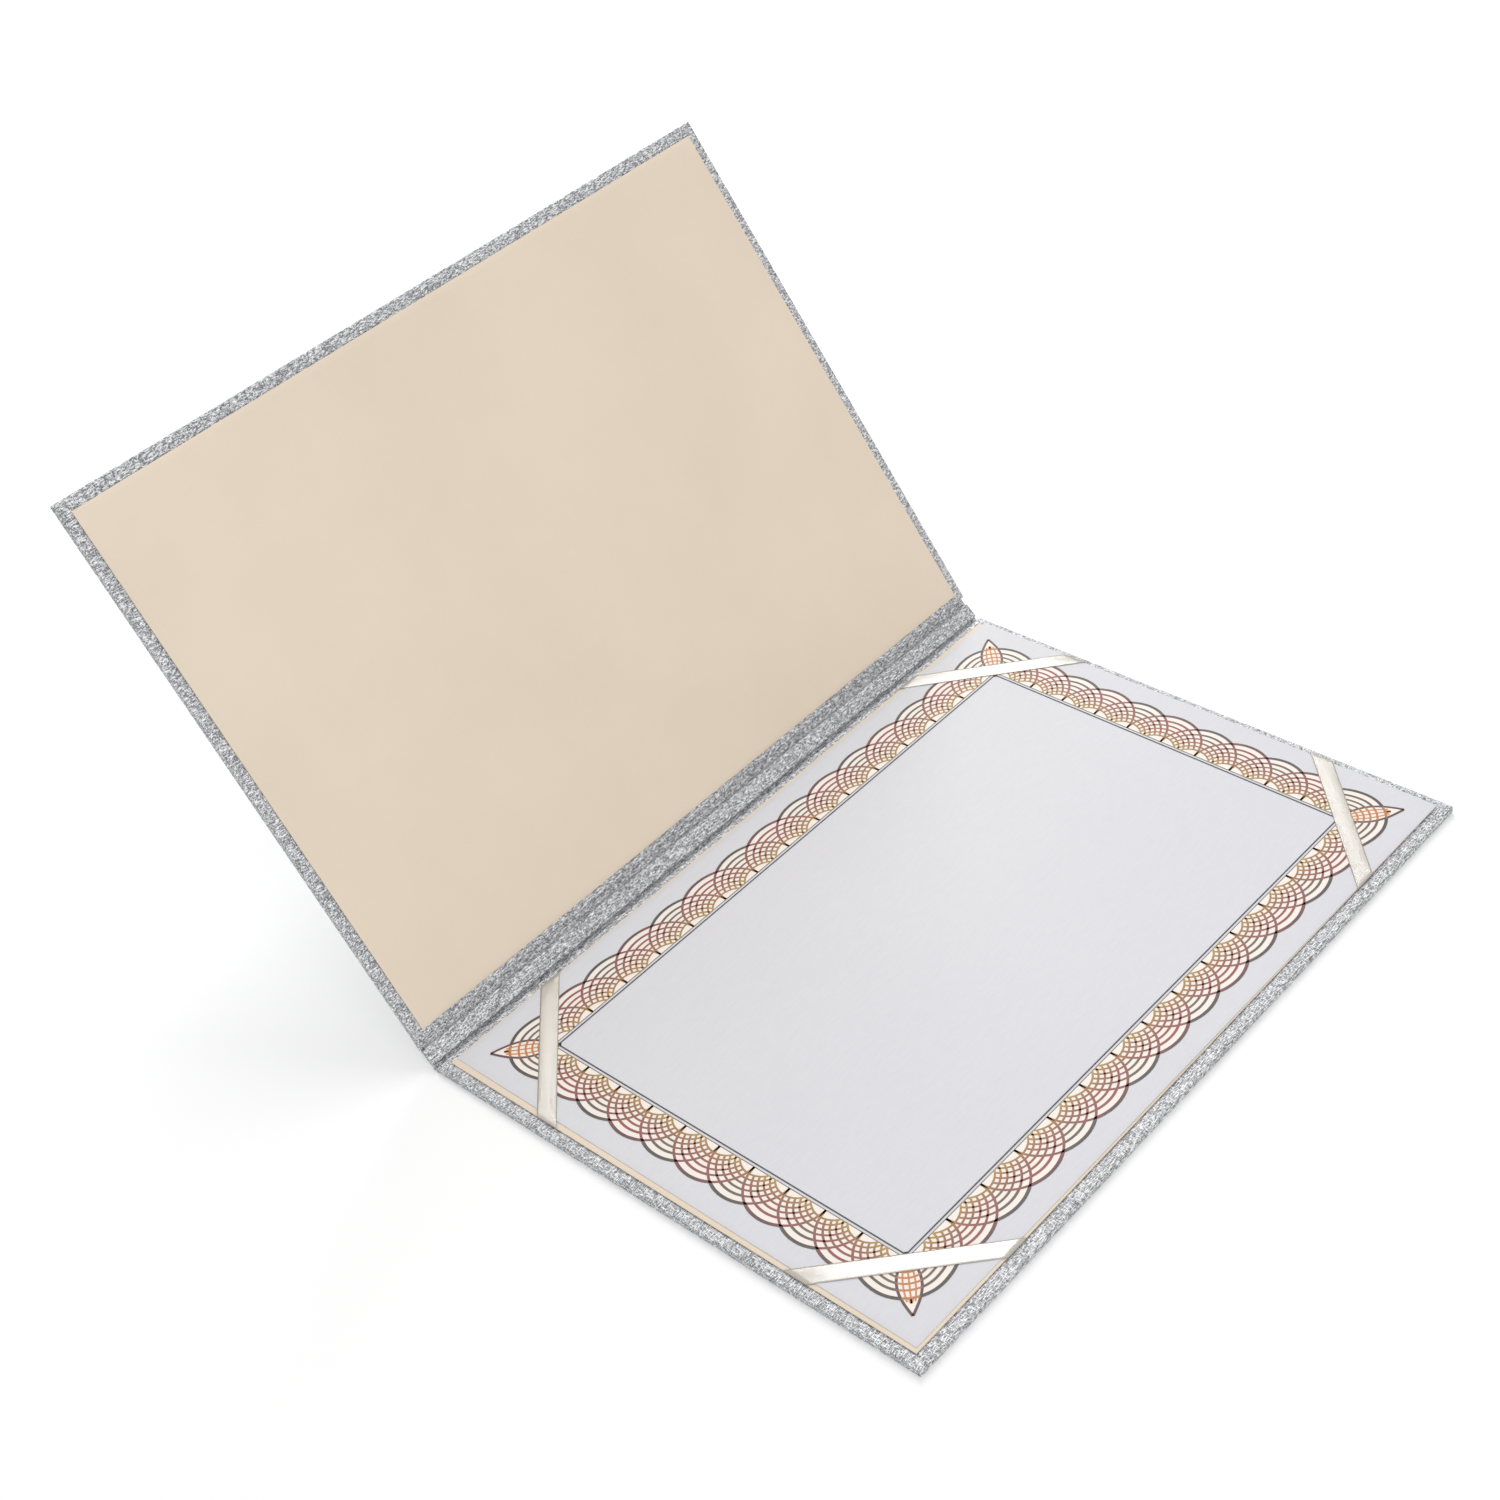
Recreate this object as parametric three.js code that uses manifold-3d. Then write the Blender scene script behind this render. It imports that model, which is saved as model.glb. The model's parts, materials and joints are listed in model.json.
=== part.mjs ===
// Diploma cover: two paper-covered boards and a narrow spine board, opened with the front cover raised.
// Millimetres. +X runs from the spine to the back cover's fore-edge, +Y along the spine to the head, +Z up.
// The origin is the middle of the back cover's underside.

import * as THREE from 'three';
import { mergeVertices } from 'three/addons/utils/BufferGeometryUtils.js';
import Module from 'manifold-3d';

const wasm = await Module();
wasm.setup();

// Certificate
const certificateWidth = 210;
const certificateLength = 297;
const certificateThickness = 0.2;
const certificateFromHinge = 5.3;
const certificateFromTail = 6.7;
const certificateTurn = -0.25; // degrees

// Linings, a little larger than the certificate
const liningThickness = 0.3;
const liningFromHinge = 4.7;
const liningSpareWidth = 1.8;
const liningSpareLength = 1;
const liningWidth = certificateWidth + liningSpareWidth;
const liningLength = certificateLength + liningSpareLength;

// Case, with a bare border around each lining
const foreBorder = 4.8;
const endBorder = 4.2;
const coverLength = liningLength + 2 * endBorder; // along the spine
const hingeToForeEdge = liningFromHinge + liningWidth + foreBorder;
const boardThickness = 2.3;
const spineBoardThickness = 1.4;
const spineBoardWidth = 5.4;
const jointGap = 4.4; // bare covering between a cover board and the spine board
const cornerRadius = 0.8;
const edgeRound = 0.5;

// Covering paper and the strip inside the spine
const sheetThickness = 0.25;
const turnInWidth = 15;
const stripThickness = 0.15;
const stripLap = 9; // under each lining
const stripEndInset = 1.5;
const glueLine = 0.05;
const jointCut = 0.1; // from a hinge line to each cut edge of the sheets

// Ribbons, each with its corner and where its middle crosses the lining's two edges, from their corner
const ribbonWidth = 6.8;
const ribbonThickness = 0.12;
const ribbonTuck = 8;
const ribbonReaches = [
  ['spine', 'tail', 49],
  ['spine', 'head', 46.5],
  ['fore', 'tail', 49],
  ['fore', 'head', 47.6],
];

// Print
const inkThickness = 0.04;
const inkGap = 0.02;
const ruleInset = 25.4; // thick rule's middle from the sheet's edge
const ruleWidth = 0.5;
const fineRuleInset = 24.15;
const fineRuleWidth = 0.3;
const laceDepth = 15.4;
const laceLineWidth = 0.7;
const shortSideScallops = 9;
const longSideScallops = 13;
const shortScallopPitch = 15.7;
const longScallopPitch = 17.45;
const leafTipInset = 8.4;
const leafLength = 25;
const leafHalfWidth = 4;

// Steps of the round forms
const roundSteps = 4;
const arcSteps = 8;
const cornerSteps = 5;
const cutExcess = 1; // by which a cutting block passes what it cuts

// Pose of the photograph, in degrees from the flat open cover
const backFold = 46.8;
const frontFold = 11;

// Levels above the outer face
const boardBottom = sheetThickness + glueLine;
const boardTop = boardBottom + boardThickness;
const turnInTop = boardTop + glueLine + sheetThickness;
const stripBottom = turnInTop + glueLine;
const tuckBottom = stripBottom + stripThickness + glueLine;
const liningBottom = tuckBottom + ribbonThickness + glueLine;
const certificateBottom = liningBottom + liningThickness + glueLine;
const fieldBottom = certificateBottom + certificateThickness + inkGap;
const lineBottom = fieldBottom + inkThickness + inkGap;
const ribbonBottom = lineBottom + inkThickness + glueLine;
const foldedSheetTop = 2 * sheetThickness + glueLine; // sheet and turn-in together, in the joint
const grooveStripBottom = foldedSheetTop + glueLine;
const hingeHeight = grooveStripBottom + stripThickness + glueLine;

// Places along the section, from a hinge line
const boardStart = jointGap / 2;
const wrapStart = boardStart - glueLine - sheetThickness;
const stripWallStart = wrapStart - glueLine - stripThickness;
const hingeSpacing = spineBoardWidth + jointGap;
const halfLength = coverLength / 2;

const material = (color, roughness, metalness = 0) =>
  new THREE.MeshStandardMaterial({ color, roughness, metalness });
const silverPaper = () => material(0xb9babd, 0.45, 0.6);
const greyBoard = () => material(0x8f8b84, 0.9);
const creamPaper = () => material(0xe0d1bc, 0.8);
const whitePaper = () => material(0xe2e2e8, 0.75);
const satinRibbon = () => material(0xd8d3c6, 0.35);

function toSolid(geometry) {
  const bare = geometry.index ? geometry.toNonIndexed() : geometry;
  bare.deleteAttribute('normal');
  bare.deleteAttribute('uv');
  const merged = mergeVertices(bare, 1e-5);
  return new wasm.Manifold(new wasm.Mesh({
    numProp: 3,
    vertProperties: new Float32Array(merged.attributes.position.array),
    triVerts: new Uint32Array(merged.index.array),
  }));
}

function toMesh(name, solid, paint) {
  const { vertProperties, triVerts } = solid.getMesh();
  const geometry = new THREE.BufferGeometry();
  geometry.setAttribute('position', new THREE.BufferAttribute(vertProperties, 3));
  geometry.setIndex(new THREE.BufferAttribute(triVerts, 1));
  geometry.computeVertexNormals();
  const mesh = new THREE.Mesh(geometry, paint);
  mesh.name = name;
  return mesh;
}

const points = (list) => new THREE.Shape(list.map(([x, y]) => new THREE.Vector2(x, y)));
const union = (solids) => solids.reduce((sum, solid) => sum.add(solid));
const extrude = (shape, depth) =>
  new THREE.ExtrudeGeometry(shape, { depth, bevelEnabled: false, curveSegments: roundSteps });

// A plan outline in X and Y, from one level to another
function plate(shape, bottom, top) {
  return toSolid(extrude(shape, top - bottom).translate(0, 0, bottom));
}

// A section in X and Z, run along Y
function runAlongY(shape, length) {
  return toSolid(extrude(shape, length).rotateX(Math.PI / 2).translate(0, length / 2, 0));
}

// A section in Y and Z, run along X
function runAlongX(shape, from, to) {
  const geometry = extrude(shape, to - from).rotateY(Math.PI / 2).rotateX(Math.PI / 2);
  return toSolid(geometry.translate(from, 0, 0));
}

function rectangle(x0, x1, y0, y1) {
  return points([[x0, y0], [x1, y0], [x1, y1], [x0, y1]]);
}

function block(x0, x1, y0, y1, z0, z1) {
  return plate(rectangle(x0, x1, y0, y1), z0, z1);
}

function roundedRectangle(x0, x1, y0, y1, radius) {
  const shape = new THREE.Shape();
  shape.moveTo(x0 + radius, y0);
  shape.lineTo(x1 - radius, y0);
  shape.absarc(x1 - radius, y0 + radius, radius, -Math.PI / 2, 0);
  shape.lineTo(x1, y1 - radius);
  shape.absarc(x1 - radius, y1 - radius, radius, 0, Math.PI / 2);
  shape.lineTo(x0 + radius, y1);
  shape.absarc(x0 + radius, y1 - radius, radius, Math.PI / 2, Math.PI);
  shape.lineTo(x0, y0 + radius);
  shape.absarc(x0 + radius, y0 + radius, radius, Math.PI, 1.5 * Math.PI);
  return shape;
}

// Plan of a cover board or of its wrapping: square at the joint, small round corners at the fore-edge
function coverOutline(from, inset) {
  const radius = cornerRadius - inset;
  const edge = hingeToForeEdge - inset;
  const side = halfLength - inset;
  const shape = new THREE.Shape();
  shape.moveTo(from, -side);
  shape.lineTo(edge - radius, -side);
  shape.absarc(edge - radius, -side + radius, radius, -Math.PI / 2, 0);
  shape.lineTo(edge, side - radius);
  shape.absarc(edge - radius, side - radius, radius, 0, Math.PI / 2);
  shape.lineTo(from, side);
  return shape;
}

// Across the case, head and tail edges are softly rounded
function roundedEnds(from, to, top) {
  return runAlongX(roundedRectangle(-halfLength, halfLength, 0, top, edgeRound), from, to);
}

function coverBoard(name) {
  return toMesh(name, plate(coverOutline(boardStart, boardBottom), boardBottom, boardTop), greyBoard());
}

// Covering of one cover: outer sheet, edge folds and turn-ins, the bare joint strip on the spine side
function coverSheet(name) {
  const section = new THREE.Shape();
  section.moveTo(jointCut, 0);
  section.lineTo(hingeToForeEdge - edgeRound, 0);
  section.absarc(hingeToForeEdge - edgeRound, edgeRound, edgeRound, -Math.PI / 2, 0);
  section.lineTo(hingeToForeEdge, turnInTop - edgeRound);
  section.absarc(hingeToForeEdge - edgeRound, turnInTop - edgeRound, edgeRound, 0, Math.PI / 2);
  section.lineTo(wrapStart, turnInTop);
  section.lineTo(wrapStart, foldedSheetTop);
  section.lineTo(jointCut, foldedSheetTop);
  const envelope = runAlongY(section, coverLength)
    .intersect(roundedEnds(0, hingeToForeEdge, turnInTop))
    .intersect(plate(coverOutline(0, 0), 0, turnInTop));
  const cavity = plate(coverOutline(boardStart - glueLine, sheetThickness), sheetThickness, boardTop + glueLine);
  const windowSide = halfLength - turnInWidth;
  const windowEdge = hingeToForeEdge - turnInWidth;
  const window = block(0, windowEdge, -windowSide, windowSide, sheetThickness, turnInTop + cutExcess);
  return toMesh(name, envelope.subtract(cavity).subtract(window), silverPaper());
}

// The strip inside the spine, as it dips into the joint and climbs under the lining
function coverStrip(name) {
  const top = stripBottom + stripThickness;
  const grooveTop = grooveStripBottom + stripThickness;
  const lapEnd = liningFromHinge + stripLap;
  const section = points([
    [jointCut, grooveStripBottom],
    [stripWallStart + stripThickness, grooveStripBottom],
    [stripWallStart + stripThickness, stripBottom],
    [lapEnd, stripBottom],
    [lapEnd, top],
    [stripWallStart, top],
    [stripWallStart, grooveTop],
    [jointCut, grooveTop],
  ]);
  return toMesh(name, runAlongY(section, coverLength - 2 * stripEndInset), silverPaper());
}

function coverLining(name) {
  const side = liningLength / 2;
  const solid = block(
    liningFromHinge, liningFromHinge + liningWidth, -side, side, liningBottom, liningBottom + liningThickness);
  return toMesh(name, solid, creamPaper());
}

// One cover, from its hinge line at X = 0 to its fore-edge
function coverPanel(side) {
  const panel = new THREE.Group();
  panel.add(coverBoard(`${side}_board`));
  panel.add(coverSheet(`${side}_cover_sheet`));
  panel.add(coverStrip(`${side}_spine_strip`));
  panel.add(coverLining(`${side}_lining`));
  return panel;
}

// Spine pieces run from the back hinge line at X = 0 to the front hinge line
function spinePieces() {
  const near = wrapStart;
  const far = hingeSpacing - wrapStart;
  const spineBoardTop = boardBottom + spineBoardThickness;
  const spineTurnInTop = spineBoardTop + glueLine + sheetThickness;
  const boardSide = halfLength - boardBottom;
  const boardEnd = boardStart + spineBoardWidth;
  const board = block(boardStart, boardEnd, -boardSide, boardSide, boardBottom, spineBoardTop);

  const sheetEnd = hingeSpacing - jointCut;
  const section = points([
    [jointCut, 0],
    [sheetEnd, 0],
    [sheetEnd, foldedSheetTop],
    [far, foldedSheetTop],
    [far, spineTurnInTop],
    [near, spineTurnInTop],
    [near, foldedSheetTop],
    [jointCut, foldedSheetTop],
  ]);
  const envelope = runAlongY(section, coverLength).intersect(roundedEnds(0, hingeSpacing, spineTurnInTop));
  const roomSide = boardSide + glueLine;
  const cavity = block(
    boardStart - glueLine, boardEnd + glueLine, -roomSide, roomSide, sheetThickness, spineBoardTop + glueLine);
  const windowSide = halfLength - turnInWidth;
  const window = block(
    0, hingeSpacing, -windowSide, windowSide, sheetThickness, spineTurnInTop + cutExcess);

  const wall = stripWallStart;
  const stripUnder = spineTurnInTop + glueLine;
  const stripTop = stripUnder + stripThickness;
  const grooveTop = grooveStripBottom + stripThickness;
  const strip = points([
    [jointCut, grooveStripBottom],
    [wall + stripThickness, grooveStripBottom],
    [wall + stripThickness, stripUnder],
    [hingeSpacing - wall - stripThickness, stripUnder],
    [hingeSpacing - wall - stripThickness, grooveStripBottom],
    [sheetEnd, grooveStripBottom],
    [sheetEnd, grooveTop],
    [hingeSpacing - wall, grooveTop],
    [hingeSpacing - wall, stripTop],
    [wall, stripTop],
    [wall, grooveTop],
    [jointCut, grooveTop],
  ]);
  const pieces = new THREE.Group();
  pieces.add(toMesh('spine_board', board, greyBoard()));
  pieces.add(toMesh('spine_cover_sheet', envelope.subtract(cavity).subtract(window), silverPaper()));
  pieces.add(toMesh('spine_strip', runAlongY(strip, coverLength - 2 * stripEndInset), silverPaper()));
  return pieces;
}

// The sheet's corner nearest the spine and the tail, and how far its turned edges pass the lining
const sheetX = certificateFromHinge;
const sheetY = certificateFromTail - halfLength;
const turn = THREE.MathUtils.degToRad(certificateTurn);
const sheetCorner = (x, y) =>
  new THREE.Vector2(x, y).rotateAround(new THREE.Vector2(), turn).add(new THREE.Vector2(sheetX, sheetY));
const sheetCorners = [
  sheetCorner(0, 0), sheetCorner(certificateWidth, 0),
  sheetCorner(0, certificateLength), sheetCorner(certificateWidth, certificateLength),
];
const liningEdges = {
  spine: liningFromHinge,
  fore: liningFromHinge + liningWidth,
  tail: -liningLength / 2,
  head: liningLength / 2,
};
const past = {
  spine: Math.max(0, liningEdges.spine - Math.min(...sheetCorners.map((p) => p.x))),
  fore: Math.max(0, Math.max(...sheetCorners.map((p) => p.x)) - liningEdges.fore),
  tail: Math.max(0, liningEdges.tail - Math.min(...sheetCorners.map((p) => p.y))),
  head: Math.max(0, Math.max(...sheetCorners.map((p) => p.y)) - liningEdges.head),
};

// A ribbon across one corner at 45 degrees: over the sheet, down the lining's two edges and back under it.
// Its outline is laid out in distances inward from the lining's two edges.
function cornerRibbon(sideX, sideY, reach) {
  const signX = sideX === 'fore' ? 1 : -1;
  const signY = sideY === 'head' ? 1 : -1;
  const lipX = past[sideX] + glueLine + ribbonThickness;
  const lipY = past[sideY] + glueLine + ribbonThickness;
  const half = ribbonWidth / Math.SQRT2;
  const tuck = ribbonTuck / Math.SQRT2;
  const ribbonTop = ribbonBottom + ribbonThickness;
  const place = ([a, b]) => [liningEdges[sideX] - signX * a, liningEdges[sideY] - signY * b];
  const outline = (list, bottom, top) => {
    const placed = list.map(place);
    return plate(points(signX * signY > 0 ? placed : placed.reverse()), bottom, top);
  };
  const near = reach - half;
  const far = reach + half;
  const fall = ribbonThickness;
  const parts = [
    outline([[-lipX, near + lipX], [-lipX, far + lipX], [far + lipY, -lipY], [near + lipY, -lipY]],
      ribbonBottom, ribbonTop),
    outline([[-lipX, near + lipX], [-lipX, far + lipX], [fall - lipX, far + lipX], [fall - lipX, near + lipX]],
      tuckBottom, ribbonTop),
    outline([[near + lipY, -lipY], [far + lipY, -lipY], [far + lipY, fall - lipY], [near + lipY, fall - lipY]],
      tuckBottom, ribbonTop),
    outline([[-lipX, near + lipX], [-lipX, far + lipX], [tuck, far + 2 * lipX + tuck], [tuck, near + 2 * lipX + tuck]],
      tuckBottom, tuckBottom + ribbonThickness),
    outline([[near + lipY, -lipY], [far + lipY, -lipY], [far + 2 * lipY + tuck, tuck], [near + 2 * lipY + tuck, tuck]],
      tuckBottom, tuckBottom + ribbonThickness),
  ];
  return toMesh(`ribbon_${sideY}_${sideX}`, union(parts), satinRibbon());
}

// Rectangular ring about the sheet's middle, its line's middle set in from the sheet's edges
function ruleRing(inset, width) {
  const ring = (grow) => {
    const x = certificateWidth / 2 - inset + grow;
    const y = certificateLength / 2 - inset + grow;
    return rectangle(-x, x, -y, y);
  };
  const shape = ring(width / 2);
  shape.holes.push(new THREE.Path(ring(-width / 2).getPoints().reverse()));
  return shape;
}

const laceX = certificateWidth / 2 - fineRuleInset;
const laceY = certificateLength / 2 - fineRuleInset;
const sweep = (steps, at) => Array.from({ length: steps + 1 }, (_, i) => at(i / steps));

// One scallop over a rule: a circle arc whose feet are one pitch away on each side, in (along, outward)
function scallopArc(pitch, grow) {
  const squeeze = shortScallopPitch / pitch;
  const foot = pitch * squeeze;
  const radius = (foot ** 2 + laceDepth ** 2) / (2 * laceDepth);
  const drop = radius - laceDepth;
  const reach = Math.acos(drop / radius);
  return sweep(arcSteps, (t) => {
    const angle = reach * (1 - 2 * t);
    return [(radius + grow) * Math.sin(angle) / squeeze, (radius + grow) * Math.cos(angle) - drop];
  });
}

// The corner sweep: a quarter ellipse, a quarter circle about the rule's corner, a quarter ellipse,
// in distances outward from the two rules of the corner at +X, +Y
function cornerArc(grow) {
  const spanX = laceX - shortScallopPitch * (shortSideScallops - 1) / 2;
  const spanY = laceY - longScallopPitch * (longSideScallops - 1) / 2;
  const depth = laceDepth + grow;
  const quarter = Math.PI / 2;
  return [
    ...sweep(cornerSteps, (t) => [-(spanX + grow) * Math.cos(quarter * t), depth * Math.sin(quarter * t)]),
    ...sweep(cornerSteps, (t) => [depth * Math.sin(quarter * t), depth * Math.cos(quarter * t)]).slice(1, -1),
    ...sweep(cornerSteps, (t) => [depth * Math.cos(quarter * t), -(spanY + grow) * Math.sin(quarter * t)]),
  ];
}

// A pointed leaf on the corner's diagonal, from its tip near the sheet's corner
function leafOutline(grow) {
  const tip = fineRuleInset - leafTipInset;
  const side = (sign) => sweep(arcSteps, (t) => {
    const along = -grow * Math.SQRT2 + (leafLength + 2 * grow) * t;
    const across = sign * (leafHalfWidth + grow) * Math.sin(Math.PI * t);
    return [tip - (along + across) / Math.SQRT2, tip - (along - across) / Math.SQRT2];
  });
  return [...side(1), ...side(-1).reverse().slice(1, -1)];
}

// Every scallop and corner of the lace, each given its outline's points and a placing function
function eachLaceShape(visit) {
  const sides = [
    [shortSideScallops, shortScallopPitch, (s) => ([u, v]) => [s * u, s * (laceY + v)]],
    [longSideScallops, longScallopPitch, (s) => ([u, v]) => [s * (laceX + v), -s * u]],
  ];
  for (const [count, pitch, face] of sides) {
    for (const s of [1, -1]) {
      for (let i = 0; i < count; i += 1) {
        const middle = (i - (count - 1) / 2) * pitch;
        const toSheet = face(s);
        visit((grow) => scallopArc(pitch, grow), ([u, v]) => toSheet([u + middle, v]), false);
      }
    }
  }
  for (const [sx, sy] of [[1, 1], [-1, 1], [-1, -1], [1, -1]]) {
    const toSheet = ([a, b]) => [sx * (laceX + a), sy * (laceY + b)];
    visit(cornerArc, toSheet, true);
    visit(leafOutline, toSheet, true, true);
  }
}

function orderedShape(list) {
  const vectors = list.map(([x, y]) => new THREE.Vector2(x, y));
  if (THREE.ShapeUtils.isClockWise(vectors)) vectors.reverse();
  return new THREE.Shape(vectors);
}

function laceField() {
  const top = fieldBottom + inkThickness;
  const shapes = [];
  eachLaceShape((outline, toSheet, corner, closed) => {
    const list = outline(0).map(toSheet);
    if (corner && !closed) list.push(toSheet([0, 0]));
    shapes.push(plate(orderedShape(list), fieldBottom, top));
  });
  const x = laceX + fineRuleWidth / 2;
  const y = laceY + fineRuleWidth / 2;
  const inside = block(-x, x, -y, y, fieldBottom - cutExcess, top + cutExcess);
  return union(shapes).subtract(inside);
}

function laceLines() {
  const top = lineBottom + inkThickness;
  const half = laceLineWidth / 2;
  const shapes = [plate(ruleRing(fineRuleInset, fineRuleWidth), lineBottom, top)];
  eachLaceShape((outline, toSheet, corner, closed) => {
    const outer = outline(half).map(toSheet);
    const inner = outline(-half).map(toSheet);
    if (closed) {
      const shape = orderedShape(outer);
      const hole = inner.map(([x, y]) => new THREE.Vector2(x, y));
      if (!THREE.ShapeUtils.isClockWise(hole)) hole.reverse();
      shape.holes.push(new THREE.Path(hole));
      shapes.push(plate(shape, lineBottom, top));
    } else {
      shapes.push(plate(orderedShape([...outer, ...inner.reverse()]), lineBottom, top));
    }
  });
  const x = laceX - fineRuleWidth / 2;
  const y = laceY - fineRuleWidth / 2;
  const inside = block(-x, x, -y, y, lineBottom - cutExcess, top + cutExcess);
  return union(shapes).subtract(inside);
}

function certificateSheet() {
  const sheet = new THREE.Group();
  sheet.position.set(sheetX, sheetY, 0);
  sheet.rotation.z = turn;
  const paper = block(0, certificateWidth, 0, certificateLength,
    certificateBottom, certificateBottom + certificateThickness);
  sheet.add(toMesh('certificate', paper, whitePaper()));

  const print = new THREE.Group();
  print.position.set(certificateWidth / 2, certificateLength / 2, 0);
  const rule = plate(ruleRing(ruleInset, ruleWidth), lineBottom, lineBottom + inkThickness);
  print.add(toMesh('print_rule', rule, material(0x55555e, 0.8)));
  print.add(toMesh('print_lace_field', laceField(), material(0xcbb39c, 0.8)));
  print.add(toMesh('print_lace_lines', laceLines(), material(0x5f4240, 0.8)));
  sheet.add(print);
  return sheet;
}

// Back cover, flat on the table
const backCover = coverPanel('back');
backCover.add(certificateSheet());
for (const [sideX, sideY, reach] of ribbonReaches) backCover.add(cornerRibbon(sideX, sideY, reach));
backCover.position.x = -hingeToForeEdge / 2;

// Spine, turned up about the back hinge line; it runs towards -X
const spine = new THREE.Group();
spine.position.set(-hingeToForeEdge / 2, 0, hingeHeight);
spine.rotation.y = THREE.MathUtils.degToRad(backFold);
const spineSection = spinePieces();
spineSection.rotation.z = Math.PI;
spineSection.position.z = -hingeHeight;
spine.add(spineSection);

// Front cover, turned up further about the front hinge line
const frontCover = new THREE.Group();
frontCover.position.x = -hingeSpacing;
frontCover.rotation.y = THREE.MathUtils.degToRad(frontFold);
const frontPanel = coverPanel('front');
frontPanel.rotation.z = Math.PI;
frontPanel.position.z = -hingeHeight;
frontCover.add(frontPanel);
spine.add(frontCover);

const diplomaCover = new THREE.Group();
diplomaCover.add(backCover, spine);

export default diplomaCover;
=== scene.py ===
import bpy
import json
import math
import numpy as np
from mathutils import Euler, Matrix, Vector

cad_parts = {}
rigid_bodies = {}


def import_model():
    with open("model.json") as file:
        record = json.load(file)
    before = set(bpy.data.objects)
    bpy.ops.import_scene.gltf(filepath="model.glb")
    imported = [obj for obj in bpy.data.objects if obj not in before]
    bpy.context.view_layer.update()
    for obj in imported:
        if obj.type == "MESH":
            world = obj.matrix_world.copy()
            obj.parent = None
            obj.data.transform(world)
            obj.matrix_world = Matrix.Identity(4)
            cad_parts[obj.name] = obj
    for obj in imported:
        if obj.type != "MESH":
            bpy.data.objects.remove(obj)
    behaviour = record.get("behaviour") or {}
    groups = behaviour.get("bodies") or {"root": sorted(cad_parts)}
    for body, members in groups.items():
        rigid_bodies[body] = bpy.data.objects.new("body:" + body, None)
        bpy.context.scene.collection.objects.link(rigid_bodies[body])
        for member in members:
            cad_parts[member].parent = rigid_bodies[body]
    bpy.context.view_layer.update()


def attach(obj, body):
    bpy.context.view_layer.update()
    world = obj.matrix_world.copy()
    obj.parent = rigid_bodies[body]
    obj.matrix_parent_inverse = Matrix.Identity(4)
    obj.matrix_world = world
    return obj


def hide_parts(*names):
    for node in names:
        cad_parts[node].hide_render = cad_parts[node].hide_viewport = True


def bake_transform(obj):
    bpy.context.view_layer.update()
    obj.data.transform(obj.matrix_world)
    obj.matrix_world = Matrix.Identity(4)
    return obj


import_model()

mm = 0.001

# The case, in millimetres of the flat open cover: u runs from the back hinge line at 0 to the back
# fore-edge, below 0 over the spine and the front cover; t is the height over the outer face.
case = {
    "length": 306.4,
    "hingeToForeEdge": 221.3,
    "hingeSpacing": 9.8,
    "hingeHeight": 0.8,
    "jointHalf": 2.2,
    "backFold": math.radians(46.8),
    "frontFold": math.radians(11),
    "turnInTop": 2.9,
    "spineTop": 2.0,
    "foldedSheetTop": 0.55,
    "wrapStart": 1.9,
    "edgeRound": 0.5,
}
backHinge = (0.0, case["hingeHeight"])
frontHinge = (-case["hingeSpacing"], case["hingeHeight"])
covers = ((1, "back"), (-1, "front"))
quarters = ((1, 1), (-1, 1), (-1, -1), (1, -1))


def smoothStep(low, high, value):
    share = np.clip((value - low) / (high - low), 0, 1)
    return share * share * (3 - 2 * share)


def turned(u, t, pivot, angle):
    du = u - pivot[0]
    dt = t - pivot[1]
    return (pivot[0] + du * np.cos(angle) + dt * np.sin(angle),
            pivot[1] - du * np.sin(angle) + dt * np.cos(angle))


def standing(u, y, t):
    # Turns points of the flat open cover into the pose of the photograph, in metres of the frame
    u, y, t = (np.asarray(v, float) for v in (u, y, t))
    half = case["jointHalf"]
    bendFront = case["frontFold"] * (1 - smoothStep(frontHinge[0] - half, frontHinge[0] + half, u))
    bendBack = case["backFold"] * (1 - smoothStep(-half, half, u))
    u, t = turned(u, t, frontHinge, bendFront)
    u, t = turned(u, t, backHinge, bendBack)
    return np.stack([u - case["hingeToForeEdge"] / 2, y, t], -1) * mm


def makeMesh(name, points, faces, material, uvs=None, smooth=True):
    mesh = bpy.data.meshes.new(name)
    mesh.from_pydata([tuple(p) for p in points], [], [tuple(f) for f in faces])
    if uvs is not None:
        layer = mesh.uv_layers.new(name="UVMap")
        corners = np.zeros(len(mesh.loops), int)
        mesh.loops.foreach_get("vertex_index", corners)
        layer.data.foreach_set("uv", np.asarray(uvs, float)[corners].ravel())
    mesh.polygons.foreach_set("use_smooth", [smooth] * len(mesh.polygons))
    mesh.materials.append(material)
    mesh.validate()
    piece = bpy.data.objects.new(name, mesh)
    bpy.context.scene.collection.objects.link(piece)
    return piece


def standingMesh(name, flat, faces, material, uvs=None, smooth=True):
    return makeMesh(name, standing(flat[:, 0], flat[:, 1], flat[:, 2]), faces, material, uvs, smooth)


def gridFaces(rows, columns, closed=False):
    faces = []
    last = columns if closed else columns - 1
    for row in range(rows - 1):
        for column in range(last):
            right = (column + 1) % columns
            faces.append((row * columns + column, row * columns + right,
                          (row + 1) * columns + right, (row + 1) * columns + column))
    return faces


def sharpenByAngle(piece, degrees, flatEnds=0):
    bpy.context.view_layer.objects.active = piece
    piece.select_set(True)
    bpy.ops.object.shade_smooth_by_angle(angle=math.radians(degrees))
    piece.select_set(False)
    for face in list(piece.data.polygons)[len(piece.data.polygons) - flatEnds:]:
        face.use_smooth = False
    return piece


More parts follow.
